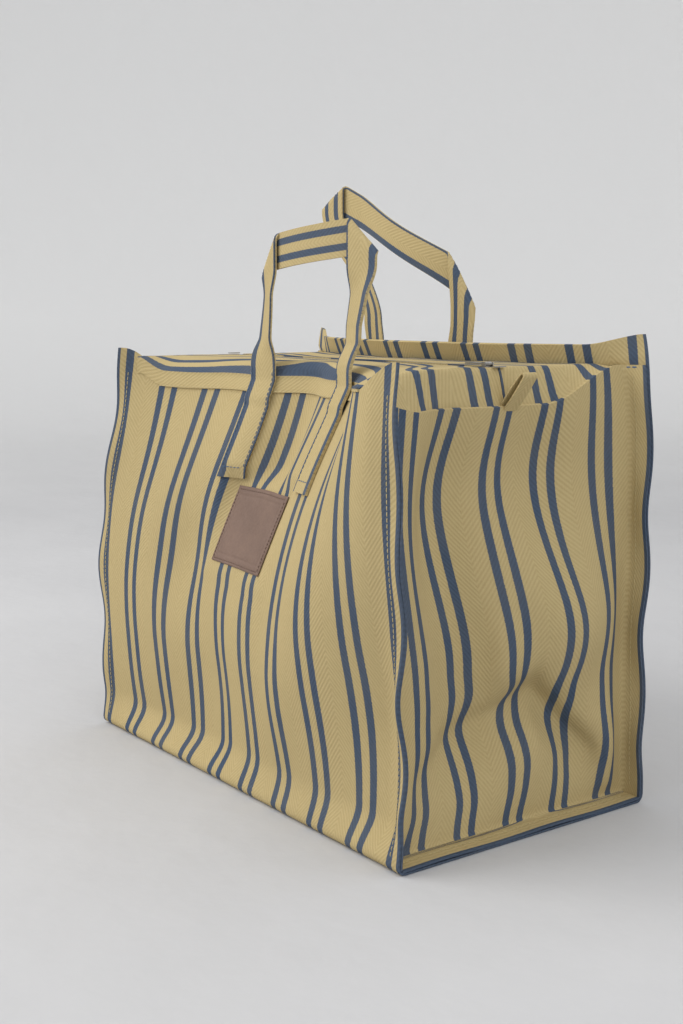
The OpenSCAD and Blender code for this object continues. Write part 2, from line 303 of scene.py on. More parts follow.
def edge_height(side, u):
    """Height of a long side's top edge, which turns up towards both corners"""
    return TOPS[side] + EARS[side] * smooth((np.abs(u) - 196) / 50)


def side_face(side, u, h):
    """The outer face of a long side, for cloth positions u across the stripes and h up from the bottom"""
    U, H = np.meshgrid(u, h, indexing="ij")
    depth = side_depth(side, U, H)
    across = np.gradient(depth, u, axis=0)
    up = np.gradient(depth, h, axis=1)
    x = running(stretched(across), u, 0)
    middle = np.array([np.interp(0, u, x[:, j]) for j in range(len(h))])
    near_top = smooth((H - 190) / 210)
    stretch = np.where(U < 0, SLACK[side][0], SLACK[side][1])
    x = (x - middle) * (1 + stretch * near_top)
    x = x + side_shift(side, H)
    z = running(stretched(up), h, 1)
    z = z * (edge_height(side, u) / z[:, -1])[:, None]
    return np.stack([x, side * depth, z], 2)


# Folds of a gusset: where across it, how wide, how high up, how tall, and how far out
GUSSET_FOLDS = [
    (-60, 36, 250, 110, -30),
    (24, 78, 298, 58, -26),
    (62, 52, 168, 55, 23),
    (-66, 44, 95, 60, -14),
    (104, 30, 60, 52, 12),
    (-12, 16, 150, 40, 7),
]
CREASE_U, CREASE_H = 22.0, 112.0  # where the two creases near the foot of a gusset meet
CREASE_FALL = (0.42, 1.0)  # how steeply they run down to the front and to the back
CREASE_DEEP = 19.0
CREASE_SOFT = (34, 20)  # how wide the creases are below and above their line
GUSSET_HALF = 137.0  # half a gusset's cloth between its two seams


def gusset_out(u, h):
    """How far a gusset stands out from its seam line"""
    out = folds_out(GUSSET_FOLDS, u, h)
    away = u - CREASE_U
    line = CREASE_H + np.where(away < 0, CREASE_FALL[0], -CREASE_FALL[1]) * away
    above = h - line
    crease = hump(above, 0, np.where(above > 0, CREASE_SOFT[1], CREASE_SOFT[0]))
    out = out - CREASE_DEEP * crease * smooth((line - 14) / 40) * hump(u, 10, 105)
    wrinkle = 1.1 * np.sin(u / 13 + h / 38) * smooth(h / 60)
    return (out + wrinkle) * smooth(h / 22) * smooth((GUSSET_HALF - np.abs(u)) / 30)


def gusset_top(u):
    """Height of a gusset's top edge, which sags in the middle and rises at the back corner"""
    return 357 + 31 * smooth((u - 45) / 90) + 7 * smooth((-u - 95) / 42)


# ---- the two sides and the bottom ----

STEP = 4.0
HEM = 20.0  # depth of the folded hems
HEM_FOLD = 1.5  # extra thickness of the back's hem
BOTTOM_ROWS = 60
U = np.linspace(-HALF_LONG, HALF_LONG, 126)


def heights(cut):
    """Cloth distances up a long side from the bottom fold"""
    return np.concatenate([[0], np.linspace(EDGE_R, cut, int(cut / STEP))])


FLAT_SHARE = 0.8  # how much of the unevenness behind the patch is gone


def flattened(face):
    """The front with its cloth pulled nearly flat behind the stiff leather patch"""
    z = face[..., 2]
    u = np.broadcast_to(U[:, None], z.shape) - PATCH_U
    middle = PATCH_Z + PATCH_H / 2
    near = np.minimum(PATCH_W / 2 - np.abs(u), PATCH_H / 2 - np.abs(z - middle))
    under = near > 0
    terms = np.stack([u, z, np.ones_like(z)], -1)
    share = FLAT_SHARE * smooth((near + 22) / 24)[..., None]
    plane = np.linalg.lstsq(terms[under], face[under], rcond=None)[0]
    return face * (1 - share) + (terms @ plane) * share


faces = {FRONT: flattened(side_face(FRONT, U, heights(FRONT_CUT))),
         BACK: side_face(BACK, U, heights(BACK_CUT))}


def on_side(side, u, z, out=0.0):
    """Points of a long side's outer face at cloth positions u and heights z, moved out by out"""
    face = faces[side]
    u, z = np.broadcast_arrays(np.asarray(u, float), np.asarray(z, float))
    column = np.clip((u + HALF_LONG) / (U[1] - U[0]), 0, len(U) - 1.001)
    low = column.astype(int)
    part = (column - low)[..., None]
    result = np.empty(u.shape + (3,))
    for at in np.ndindex(u.shape):
        a, b = (np.array([np.interp(z[at], line[:, 2], line[:, k]) for k in range(2)] + [z[at]])
                for line in face[low[at]:low[at] + 2])
        result[at] = a * (1 - part[at]) + b * part[at]
    result[..., 1] += side * out
    return result


def wrap_mesh():
    """The long strip of cloth: down the back, across the bottom and up the front"""
    front, back = faces[FRONT][:, 1:], faces[BACK][:, 1:]
    rows = [back[:, j] for j in range(back.shape[1])][::-1]
    thick = [CLOTH + (HEM_FOLD if row[0, 2] > rows[0][0, 2] - HEM else 0) for row in rows]
    turns = np.radians([22, 45, 68, 90])

    def corner(line, side, turn):
        r = line[:, 2]
        depth = np.abs(line[:, 1]) - r * (1 - np.cos(turn))
        return np.stack([line[:, 0], side * depth, r * (1 - np.sin(turn))], 1)

    rows += [corner(back[:, 0], BACK, a) for a in turns]
    near, far = rows[-1], corner(front[:, 0], FRONT, turns[-1])
    rows += [near + (far - near) * k / BOTTOM_ROWS for k in range(1, BOTTOM_ROWS)]
    rows += [corner(front[:, 0], FRONT, a) for a in turns[::-1]]
    rows += [front[:, j] for j in range(front.shape[1])]
    thick += [CLOTH] * (len(rows) - len(thick))
    face = np.stack(rows, 1)
    along = arc_lengths(face)
    across = np.repeat(U[:, None], face.shape[1], 1)
    flat = np.stack([across, along, HALF_LONG - np.abs(across)], 2)
    return cloth_mesh("body_cloth", face, flat, np.array(thick)[None, :])


# ---- the gussets ----

LIP_Z = DOUBLE  # the gusset's foot lip lies on the bottom cloth
LIP_U = np.array([250, 246.5, 243, 239.5, 236, 232.5])  # columns of a lip, from its free edge inwards
LIPS = len(LIP_U)
GUSSET_SEAM = 229.0  # where a lip turns into the panel
GUSSET_HEM = 1.4  # extra thickness of a gusset's hem


def soften_turns(face):
    """Rounds the lines where a gusset's lips meet its panel"""
    n = LIPS
    for _ in range(2):
        for c in (n - 1, n, len(face) - n - 1, len(face) - n):
            face[c, n:] = (face[c - 1, n:] + 2 * face[c, n:] + face[c + 1, n:]) / 4
        face[n:-n, n] = (face[n:-n, n - 1] + 2 * face[n:-n, n] + face[n:-n, n + 1]) / 4


def gusset_grid(end):
    """The shown face of a gusset, its flat coordinates and its cells"""
    panel = np.linspace(-GUSSET_HALF, GUSSET_HALF, 74)
    t = np.linspace(0, 1, 98)

    def lip(side):
        lip_z = LIP_Z + t * (gusset_top(side * GUSSET_HALF) - LIP_Z)
        grid = on_side(side, end * LIP_U[:, None], lip_z[None, :], -DOUBLE)
        u = side * (GUSSET_HALF + 0.5 * (LIP_U - GUSSET_SEAM))
        return grid, u

    u, tt = np.meshgrid(panel, t, indexing="ij")
    z = LIP_Z + tt * (gusset_top(u) - LIP_Z)
    out = gusset_out(u if end == RIGHT else 0.9 * u, z)  # the left gusset folds a little further out
    share = running(stretched(np.gradient(out, panel, axis=0)), panel, 0)
    share = share / share[-1]
    ends = [on_side(side, end * GUSSET_SEAM, z, -DOUBLE) for side in (FRONT, BACK)]
    face = ends[0] + (ends[1] - ends[0]) * share[..., None]
    face[..., 0] += end * out
    face[..., 2] = z
    front_lip, front_u = lip(FRONT)
    back_lip, back_u = lip(BACK)
    face = np.concatenate([front_lip, face, back_lip[::-1]])
    across = np.concatenate([front_u, panel, back_u[::-1]])
    foot = []
    for u_lip in LIP_U:
        line = face[:, 0].copy()
        line[:, 0] = end * u_lip
        line[:, 2] = LIP_Z + 0.5 * np.sin(line[:, 1] / 19)
        foot.append(line)
    face = np.concatenate([np.stack(foot, 1), face], 1)
    along = arc_lengths(face)
    edge = np.full(along.shape, FAR)
    edge[:LIPS] = (HALF_LONG - LIP_U)[:, None]
    edge[-LIPS:] = (HALF_LONG - LIP_U[::-1])[:, None]
    edge[:, :LIPS] = np.minimum(edge[:, :LIPS], (HALF_LONG - LIP_U)[None, :])
    # half a pitch of shift puts a pair of stripes in the middle of the gusset
    across = across[:, None] + PITCH / 2 + 0 * along
    across[:, :LIPS] = PITCH + 0.15 * (across[:, :LIPS] % 12)  # the foot is a plain strip
    flat = np.stack([across, along, edge], 2)
    keep = np.ones((face.shape[0] - 1, face.shape[1] - 1), bool)
    keep[:LIPS, :LIPS - 1] = keep[-LIPS:, :LIPS - 1] = False  # the lips meet at an open corner
    soften_turns(face)
    thick = CLOTH + np.where(face[..., 2] > face[:, -1:, 2] - HEM, GUSSET_HEM, 0)
    if end == LEFT:
        face, flat, keep, thick = face[::-1], flat[::-1], keep[::-1], thick[::-1]
    return face, flat, keep, thick


gussets = {end: gusset_grid(end) for end in (LEFT, RIGHT)}


def gusset_edge(end, y):
    """The top edge of a gusset at distances y from the bag's middle plane"""
    top = gussets[end][0][:, -1]
    top = top[np.argsort(top[:, 1])[LIPS:-LIPS]]
    return np.stack([np.interp(y, top[:, 1], top[:, k]) for k in (0, 2)], -1)


# ---- the zip deck ----

MOUTH = {LEFT: -190.0, RIGHT: 201.0}  # the two ends of the mouth
TAPE_IN, TAPE_OUT = 3.2, 20.0  # edges of a zipper tape, from the zip's middle line
TAPE_Z, TEETH_Z = 386.05, 386.3
FLAP_IN = 9.2  # edge of the cloth beside the zip
DECK_STRIPE = 16.75  # puts a pair of stripes 10 mm in from the front edge
DECK_X = np.linspace(MOUTH[LEFT], MOUTH[RIGHT], 98)
DECK_ENDS = np.linspace(0, 1, 11)[1:]  # shares of the way from the mouth to a gusset
DECK_SHORT, DECK_LOW = 4.2, 2.0  # the deck ends this far from a gusset's top edge, and below it
# Height where the deck meets a long side, and how far beyond the side's outer face the deck's edge is
MEETS = {FRONT: FRONT_TOP - 2, BACK: DECK_Z - CLOTH - 1}
REACH = {FRONT: 1.0, BACK: -(2 * CLOTH + 2.2)}
TUCK = {FRONT: 2.4, BACK: 4.8}  # how far inside the long sides the deck's ends are tucked
TUCK_LIMIT = 150  # and no further than this from the middle
CORNER_Y = 108.0  # where the deck's ends are measured against the long sides
SKIRT_DROP = {FRONT: SKIRT, BACK: 22}  # how far the skirt hangs below the deck's edge
DECK_ROUND = 2.6  # how late the front of the deck rounds down to its edge
DECK_WAVE = 0.5  # height of the waves in the deck's cloth


def top_edge(side, x, z):
    """Distance of a long side's outer face from the middle at height z, and its cloth position"""
    line = np.array([[np.interp(z, column[:, 2], column[:, k]) for k in (0, 1)] for column in faces[side]])
    return np.interp(x, line[:, 0], np.abs(line[:, 1])), np.interp(x, line[:, 0], U)


def deck_end(end, y, share):
    """A point of the deck between the end of the mouth and the gusset's top edge"""
    goal = gusset_edge(end, y)
    x = MOUTH[end] + (goal[..., 0] - end * DECK_SHORT - MOUTH[end]) * share
    z = DECK_Z + (goal[..., 1] - DECK_LOW - DECK_Z) * smooth(share)
    return x, z


def deck_column(side, end, value):
    """One column of the deck from the long side to its inner edge: points, and the edge's distance

    value is the column's place along the bag, or past an end of the mouth its share of the way.
    """
    x0 = MOUTH[end] if end else value
    wall, u = top_edge(side, np.array(x0), MEETS[side])
    edge = wall = wall + REACH[side]
    inner = FLAP_IN - 6
    if end:  # past the mouth the deck is tucked inside the top edges
        x_edge, _ = deck_end(end, side * CORNER_Y, value)
        inside, _ = top_edge(side, x_edge, MEETS[side])
        wall = edge + (min(float(inside), TUCK_LIMIT) - TUCK[side] - edge) * min(1, 4 * value)
        inner = 0.3
    inward = np.concatenate([np.linspace(0, 1, 8), 1 + np.linspace(0, 1, 15)[1:]])
    y = np.where(inward <= 1, wall + (FOLD_Y - wall) * inward, FOLD_Y + (inner - FOLD_Y) * (inward - 1))
    x, z = deck_end(end, side * y, value) if end else (np.full(len(y), x0), np.full(len(y), DECK_Z))
    if side == FRONT:  # the front edge is lower than the fold, so the deck rounds down to it
        top = edge_height(side, u) + CLOTH + 0.3
        z = z + np.minimum(0, top - z) * np.clip(1 - inward, 0, 1) ** DECK_ROUND
    z = z + DECK_WAVE * np.sin(x / 15) * (1 - np.clip(inward, 0, 1))
    return np.stack([x, side * y, z], 1), edge


def deck_skirt(side, rim):
    """Rows of the skirt that hangs from the deck's rim, outside the front and inside the back"""
    # at the front it runs out past the right leg
    narrow = 1 - 0.8 * smooth((rim[:, 0] - 125) / 60) if side == FRONT else 1
    rows = []
    for drop in np.linspace(SKIRT_DROP[side], 3, 6):
        row = rim.copy()
        row[:, 2] -= drop * narrow
        if side == FRONT:
            depths = [top_edge(side, x, z)[0] for x, z in row[:, [0, 2]]]
            row[:, 1] = -(np.array(depths) + 1.5)
        else:
            row[:, 1] -= 0.6
        rows.append(row)
    if side == FRONT:
        rows.append(rim - [0, 0.4, 1.0])
    return rows


def deck_grid(side):
    """A zip panel: its skirt along the long side, and the deck as far as the fold and the two ends"""
    columns = [deck_column(side, LEFT, share) for share in DECK_ENDS[::-1]]
    columns += [deck_column(side, 0, x) for x in DECK_X]
    columns += [deck_column(side, RIGHT, share) for share in DECK_ENDS]
    face = np.stack([points for points, _ in columns])
    edges = np.array([edge for _, edge in columns])
    rows = deck_skirt(side, face[:, 0])
    if side == FRONT:
        face[:, 0] += [0, 1.2, 0.3]
    face = np.concatenate([np.stack(rows, 1), face], 1)
    count = len(rows)
    distance = edges[:, None] - np.abs(face[..., 1])
    distance[:, :count] = -(face[:, count:count + 1, 2] - face[:, :count, 2])
    keep = np.ones((face.shape[0] - 1, face.shape[1] - 1), bool)
    n = len(DECK_ENDS)
    keep[n:-n, count + 7:] = False  # the mouth
    keep[:n + 3, :count] = keep[1 - n:, :count] = False  # the ends have no skirt
    return mirrored(side, face, plain_flat(distance + DECK_STRIPE, face[..., 0]), keep)


def flap_grid(side, x0, x1):
    """A length of a mouth flap's cloth, from the fold to the zip"""
    x = np.linspace(x0, x1, max(8, int((x1 - x0) / STEP)))
    y = np.linspace(FOLD_Y, FLAP_IN, 15)
    gx, gy = np.meshgrid(x, y, indexing="ij")
    wall, _ = top_edge(side, gx, MEETS[side])
    z = DECK_Z + DECK_WAVE * np.sin(gx / 24 + side) * np.sin(np.pi * (gy - FLAP_IN) / (FOLD_Y - FLAP_IN))
    face = np.stack([gx, side * gy, z], 2)
    return mirrored(side, face, plain_flat(wall + REACH[side] - gy + DECK_STRIPE, gx))


# The middle of each mouth flap swings whole, and its ends stay fixed where they are
SPANS = {"left": (MOUTH[LEFT], -118.0), "middle": (-118.0, 130.0), "right": (130.0, MOUTH[RIGHT])}


def swing_with_flap(obj, side, span):
    """Rides the middle piece on its flap, and leaves a piece at the mouth's ends fixed where it is"""
    body = "front_flap" if side == FRONT else "back_flap"
    if span == "middle":
        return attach(obj, body)
    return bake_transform(obj)


def tape_grid(side, x0, x1):
    """A length of zipper tape"""
    x = np.linspace(x0, x1, max(6, int((x1 - x0) / 5)))
    y = np.linspace(TAPE_OUT, TAPE_IN, 8)
    gx, gy = np.meshgrid(x, y, indexing="ij")
    face = np.stack([gx, side * gy, np.full(gx.shape, TAPE_Z)], 2)
    return mirrored(side, face, plain_flat(gy, gx))


TOOTH_PITCH = 2.6
TOOTH = np.array([1.25, 3.9, 2.2])
TOOTH_ROUND = 0.35
TEETH_END = 188.0  # where the coils stop, under the closed slider


def teeth_centres(side, x0, x1):
    """The middle of each coil of the zip: it stands on the tape and reaches past the middle line"""
    shift = 0 if side == FRONT else TOOTH_PITCH / 2
    numbers = range(int((MOUTH[LEFT] + 4) / TOOTH_PITCH), int(TEETH_END / TOOTH_PITCH))
    places = [n * TOOTH_PITCH + shift for n in numbers]
    return [(x, side * 1.9, TEETH_Z) for x in places if x0 <= x < x1]


# ---- the handles ----

HINGE = {FRONT: (-83.41, 391.3), BACK: (73.08, 408.0)}  # y and z of the loops' hinge lines
FREE = {FRONT: 334.0, BACK: 394.0}  # length of each free loop
BOW = {FRONT: 9.0, BACK: 11.0}  # how far the top of each loop bows towards the front
# Where each loop is folded over: distance along it, the direction it goes on in, and the side it rolls to
CORNERS = {
    FRONT: [(96.0, (115, 10), 1), (228.0, (0, -1), -1)],
    BACK: [(145.0, (172, -88), -1), (338.0, (0, -1), 1)],
}
SWAY = {FRONT: 0.0, BACK: -84.0}  # how far each loop's left shoulder is swept along the bag
LOW = 8.0  # how far below its hinge line a strap leaves the cloth
BEND = 26.0  # how much of a strap bends there, up and down
TWIST = {LEFT: 15, RIGHT: 20}  # degrees by which the legs of the front loop are turned
FRONT_LEAN = 13  # how far the front loop leans along the bag
CLOTH_END = {FRONT: FRONT_TOP - 3, BACK: BACK_TOP - 1.5}  # straps lie on cloth up to here


def fold_strap(s, t, corners, free, roll=2.3):
    """A flat strap folded over diagonally: corners lists (s, turn of the strap, side it rolls to)

    roll is the radius of a fold. Returns positions in the plane of the strap, their depth out of it, and
    how far apart the strap's feet are.
    """
    place = np.stack([t, s], -1)
    depth = np.zeros_like(s)
    heading = np.array([0.0, 1.0])
    centre, last = np.zeros(2), 0.0
    for n, (at, goal, way) in enumerate(corners):
        centre = centre + (at - last) * heading
        goal = np.array(goal, float) / np.linalg.norm(goal)
        line = (heading + goal) / np.linalg.norm(heading + goal)
        beyond = heading - (heading @ line) * line
        beyond = beyond / np.linalg.norm(beyond)
        before = (s < (last + at) / 2) if n else np.zeros(s.shape, bool)
        b = (place - centre) @ beyond
        turn = np.clip(b, 0, math.pi * roll) / roll
        moved = roll * np.sin(turn) - np.maximum(b - math.pi * roll, 0)
        moved = np.where(b <= 0, b, moved)
        place = np.where(before[..., None], place, place + ((moved - b)[..., None]) * beyond)
        depth = depth + np.where(before, 0, way * roll * (1 - np.cos(turn)))
        heading, last = goal, at
    return place, depth, centre[0] + (free - last) * heading[0]


def twist_legs(x, z, feet):
    """Turns the two legs of the front loop about upright axes, by angles that change with height"""
    y = np.zeros_like(x)
    for leg, foot in zip((LEFT, RIGHT), feet):
        near = np.abs(x - foot) < 20
        rise = smooth((z - 4) / 24) * (1 - smooth((z - 62) / 26))
        angle = math.radians(TWIST[leg]) * rise
        away = x - foot
        x = np.where(near, foot + away * np.cos(angle), x)
        y = np.where(near, -away * np.sin(angle), y)
    return x, y


def over_skirt(side, z):
    """How much further out a strap lies at height z, where it runs over the front's skirt"""
    if side == BACK:
        return 0 * z
    return (CLOTH + LAYER) * smooth((z - (FRONT_TOP - SKIRT - 12)) / 10)


def loop_grid(side, s, t, feet):
    """The middle surface of a free loop, at distances s along the strap and t across it"""
    place, depth, span = fold_strap(np.clip(s, 0, FREE[side]), t, CORNERS[side], FREE[side])
    spread = feet[1] - feet[0]
    x = feet[0] + place[..., 0]
    x = x + (spread - span) * np.clip(place[..., 0] / span, 0, 1)
    z = np.maximum(place[..., 1], 0)
    x = x + SWAY[side] * smooth((z - 25) / 110) * (1 - np.clip((x - feet[0]) / spread, 0, 1))
    twist = 0
    if side == FRONT:
        x, twist = twist_legs(x, z, feet)
        x = x + FRONT_LEAN * smooth(z / 90)
    bow = BOW[side] * np.sin(np.pi * np.clip((x - feet[0]) / spread, -0.3, 1.3)) * smooth(z / 90)
    y = HINGE[side][0] - side * 1.8 - side * depth - bow + twist
    return np.stack([x, y, HINGE[side][1] - LOW + z], -1)


def strap_mesh(name, side, feet):
    """A whole handle: two sewn legs and the free loop between them, as one strap"""
    begin = LEG_SEWN + LOW
    total = FREE[side] + 2 * begin
    s = np.linspace(0, total, int(total / 2.2))
    t = np.linspace(-STRAP_W / 2, STRAP_W / 2, 13)
    S, T = np.meshgrid(s, t, indexing="ij")
    grid = loop_grid(side, S - begin, T, feet)
    # the sewn legs lie along the cloth of the side
    for leg, down in enumerate((begin - s, s - (total - begin))):
        sewn = down > -BEND
        down = np.repeat(down[sewn, None], len(t), 1)
        across = T[sewn] if leg == 0 else -T[sewn]
        z = np.minimum(HINGE[side][1] - LOW - np.maximum(down, 0), CLOTH_END[side])
        base = on_side(side, LEGS[side][leg] + across, z, 0.6 + STRAP_T / 2 + over_skirt(side, z))
        share = smooth(-down / BEND)[..., None]
        grid[sewn] = base * (1 - share) + grid[sewn] * share
        grid[sewn, :, 2] = HINGE[side][1] - LOW - down
    if grid_normals(grid)[5, 6, 1] * side <= 0:  # the shown face looks away from the bag
        grid, S, T = grid[:, ::-1], S[:, ::-1], T[:, ::-1]
    face = grid + grid_normals(grid) * STRAP_T / 2
    # the two skins are woven differently: the third coordinate is 1 outside and -1 inside
    flat = np.stack([T, S, np.ones_like(S)], 2)
    return cloth_mesh(name, face, flat, STRAP_T, sharp=60, hidden=flat * [1, 1, -1])


# ---- materials ----

class Paint:
    """A material built from a few nodes; a value is a number, a colour or another node's output"""

    def __init__(self, name, roughness=0.9, **sockets):
        self.material = bpy.data.materials.new(name)
        self.material.use_nodes = True
        self.tree = self.material.node_tree
        self.shader = self.tree.nodes["Principled BSDF"]
        self.shader.inputs["Roughness"].default_value = roughness
        for socket, value in sockets.items():
            self.shader.inputs[socket.replace("_", " ")].default_value = value

    def put(self, socket, value):
        if isinstance(value, bpy.types.NodeSocket):
            self.tree.links.new(value, socket)
        elif value is not None:
            socket.default_value = value

    def node(self, kind, *values, **settings):
        """A new node: values go to its inputs in order, and settings are its own attributes"""
        node = self.tree.nodes.new("ShaderNode" + kind)
        for name, value in settings.items():
            setattr(node, name, value)
        for socket, value in zip(node.inputs, values):
            self.put(socket, value)
        return node

    def math(self, operation, *values, clamp=False):
        return self.node("Math", *values, operation=operation, use_clamp=clamp).outputs[0]

    def plus(self, a, b, **how):
        return self.math("ADD", a, b, **how)

    def minus(self, a, b):
        return self.math("SUBTRACT", a, b)

    def times(self, a, b, **how):
        return self.math("MULTIPLY", a, b, **how)

    def fold(self, value, period):
        """Distance from the middle of a repeat"""
        return self.math("ABSOLUTE", self.minus(self.math("FLOORED_MODULO", value, period), period / 2))

    def cloth(self):
        """The cloth's own coordinates, in millimetres"""
        source = self.node("Attribute", attribute_name="cloth")
        return self.node("SeparateXYZ", source.outputs["Vector"]).outputs

    def joined(self, x, y):
        return self.node("CombineXYZ", x, y).outputs[0]

    def noise(self, vector, scale, detail=3.0):
        return self.node("TexNoise", vector, None, scale, detail).outputs["Fac"]

    def place(self):
        return self.node("TexCoord").outputs["Object"]

    def mix(self, share, a, b):
        node = self.node("Mix", share, data_type="RGBA")
        self.put(node.inputs[6], a)
        self.put(node.inputs[7], b)
        return node.outputs[2]

    def band(self, value, centre, width, soft=0.5):
        """1 where value is within half of width from centre"""
        away = self.math("ABSOLUTE", self.minus(value, centre))
        return self.math("DIVIDE", self.minus(width / 2 + soft / 2, away), soft, clamp=True)

    def finish(self, colour, height=None, distance=0.4):
        self.put(self.shader.inputs["Base Color"], colour)
        if height is not None:
            bump = self.node("Bump")
            bump.inputs["Distance"].default_value = distance * MM
            bump.inputs["Strength"].default_value = 0.8
            self.put(bump.inputs["Height"], height)
            self.tree.links.new(bump.outputs[0], self.shader.inputs["Normal"])
        return self.material


STRAW_DARK = (0.365, 0.270, 0.115, 1)
STRAW = (0.535, 0.425, 0.215, 1)
STRAW_PALE = (0.620, 0.505, 0.275, 1)
BLUE_DARK = (0.016, 0.040, 0.090, 1)
BLUE = (0.046, 0.098, 0.185, 1)
TWILL = 2.9  # from one rib of the twill to the next
SELVEDGE = 3.3  # width of the blue selvedge


def woven(paint, blue, u, v, reverse=2 * PITCH):
    """Colour and relief of herringbone twill whose blue is given as a mask; the colour is painted darker in
    the ribs' valleys as painted shade, and the yarn noise is the yarns' own tone
    """
    turn = paint.fold(u, reverse)
    phase = paint.plus(paint.times(v, 0.60), paint.times(turn, 0.80))
    rib = paint.math("SINE", paint.times(phase, 2 * math.pi / TWILL))
    rib = paint.math("MULTIPLY_ADD", rib, 0.5, 0.5)
    yarn = paint.noise(paint.joined(paint.times(u, 1.4), paint.times(v, 0.10)), 1.0, 2.0)
    weft = paint.noise(paint.joined(paint.times(u, 0.12), paint.times(v, 1.3)), 1.0, 2.0)
    worn = paint.noise(paint.joined(u, v), 0.012, 4.0)
    # painted shade: the rib term darkens the colour in the twill's valleys; the yarn and weft noise is the
    # yarns' own uneven tone
    tone = paint.plus(paint.times(rib, 0.30), paint.times(yarn, 0.35))
    tone = paint.plus(tone, paint.times(weft, 0.25), clamp=True)
    straw = paint.mix(tone, STRAW_DARK, STRAW_PALE)
    straw = paint.mix(paint.times(worn, 0.45), straw, STRAW)
    dyed = paint.mix(tone, BLUE_DARK, BLUE)
    faded = paint.mix(paint.times(worn, 0.18), dyed, STRAW)
    relief = paint.plus(paint.times(rib, 0.6), paint.times(yarn, 0.5))
    relief = paint.plus(relief, paint.times(weft, 0.35))
    return paint.mix(blue, straw, faded), relief


def frayed(paint, u, v):
    """The edge of a stripe wanders by a yarn"""
    wander = paint.noise(paint.joined(paint.times(u, 0.2), paint.times(v, 0.8)), 1.0, 3.0)
    return paint.plus(u, paint.times(paint.minus(wander, 0.5), 1.3))


def ticking_material(name):
    """Straw cloth with pairs of blue stripes, and a blue selvedge"""
    paint = Paint(name, 0.92, Specular_IOR_Level=0.18)
    u, v, edge = paint.cloth()
    loose = frayed(paint, u, v)
    within = paint.fold(loose, PITCH)
    blue = paint.band(within, PAIR, STRIPE)
    selvedge = paint.math("DIVIDE", paint.minus(SELVEDGE, edge), 0.5, clamp=True)
    colour, relief = woven(paint, paint.math("MAXIMUM", blue, selvedge), u, v)
    return paint.finish(colour, relief)


# Middle and width of a strap's stripes: two on its outside, and a pair on its inside
THICK_STRIPE, THIN_STRIPE, INNER_STRIPES = (-11.8, 7.0), (14.8, 2.0), (7.2, 6.0)


def strap_material():
    """Straps show a thick and a thin stripe outside, and a pair inside"""
    paint = Paint("strap_cloth", 0.9, Specular_IOR_Level=0.2)
    t, s, side = paint.cloth()
    loose = frayed(paint, t, s)
    outside = paint.math("MAXIMUM", paint.band(loose, *THICK_STRIPE), paint.band(loose, *THIN_STRIPE))
    inside = paint.band(paint.math("ABSOLUTE", loose), *INNER_STRIPES)
    front = paint.math("GREATER_THAN", side, 0.0)
    blue = paint.plus(paint.times(outside, front),
                      paint.times(inside, paint.minus(1.0, front)))
    colour, relief = woven(paint, blue, t, s, 200.0)
    return paint.finish(colour, relief, 0.3)


def plain_material(name, dark, light, scale, roughness, distance, sockets):
    """A material whose colour and relief both follow one grain"""
    paint = Paint(name, roughness, **sockets)
    grain = paint.noise(paint.place(), scale, 4.0)
    return paint.finish(paint.mix(grain, dark, light), grain, distance)


def leather_material():
    paint = Paint("leather", 0.62, Specular_IOR_Level=0.35)
    place = paint.place()
    cell = paint.node("TexVoronoi", place, None, 900, feature="DISTANCE_TO_EDGE")
    pores = paint.times(cell.outputs["Distance"], 2.2, clamp=True)
    cloudy = paint.noise(place, 38, 5.0)
    fine = paint.noise(place, 420, 3.0)
    colour = paint.mix(cloudy, (0.098, 0.056, 0.040, 1), (0.220, 0.138, 0.102, 1))
    colour = paint.mix(paint.times(fine, 0.35), colour, (0.33, 0.23, 0.18, 1))
    relief = paint.plus(paint.times(pores, 0.5), paint.times(fine, 0.5))
    return paint.finish(colour, relief, 0.15)


def tape_material():
    paint = Paint("zipper_tape", 0.85, Specular_IOR_Level=0.25)
    across, along, _ = paint.cloth()
    rib = paint.math("SINE", paint.times(across, 5.2))
    knit = paint.math("SINE", paint.times(along, 6.3))
    tone = paint.math("MULTIPLY_ADD", paint.times(rib, knit), 0.5, 0.5)
    return paint.finish(paint.mix(tone, (0.012, 0.013, 0.016, 1), (0.045, 0.047, 0.055, 1)), tone, 0.2)


looks = {
    "ticking": ticking_material("ticking"),
    "deck_cloth": ticking_material("deck_cloth"),
    "strap_cloth": strap_material(),
    "zipper_tape": tape_material(),
    "leather": leather_material(),
}


# Plain materials: two colours, scale of the grain, roughness, depth of the grain and other sockets
PLAIN = {
    "zipper_teeth": ((0.010, 0.010, 0.012, 1), (0.035, 0.035, 0.040, 1), 600, 0.42, 0.05,
                     {"Specular_IOR_Level": 0.5}),
    "zipper_metal": ((0.30, 0.29, 0.27, 1), (0.47, 0.46, 0.44, 1), 500, 0.30, 0.03, {"Metallic": 1.0}),
    "thread": ((0.42, 0.33, 0.15, 1), (0.62, 0.52, 0.28, 1), 1500, 0.75, 0.1, {}),
    "blue_thread": ((0.040, 0.085, 0.165, 1), (0.090, 0.160, 0.270, 1), 1500, 0.7, 0.1, {}),
    "brown_thread": ((0.085, 0.045, 0.030, 1), (0.17, 0.10, 0.07, 1), 1500, 0.7, 0.1, {}),
}
for name, look in PLAIN.items():
    looks[name] = plain_material(name, *look)


def dress(obj, look, body=None, replaces=()):
    """Gives a piece its material and slot, and its body and the CAD nodes it stands for if any are named"""
    obj.data.materials.clear()
    obj.data.materials.append(looks[look])
    if body:
        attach(obj, body)
    if replaces:
        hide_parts(*replaces)
    return obj


# ---- the cloth panels ----

body = dress(wrap_mesh(), "ticking", "bag", ["body_wrap"])

for end, word in ENDS:
    face, flat, keep, thick = gussets[end]
    panel = cloth_mesh(word + "_gusset_cloth", face, flat, thick, keep)
    dress(panel, "ticking", "bag", [word + "_gusset"])

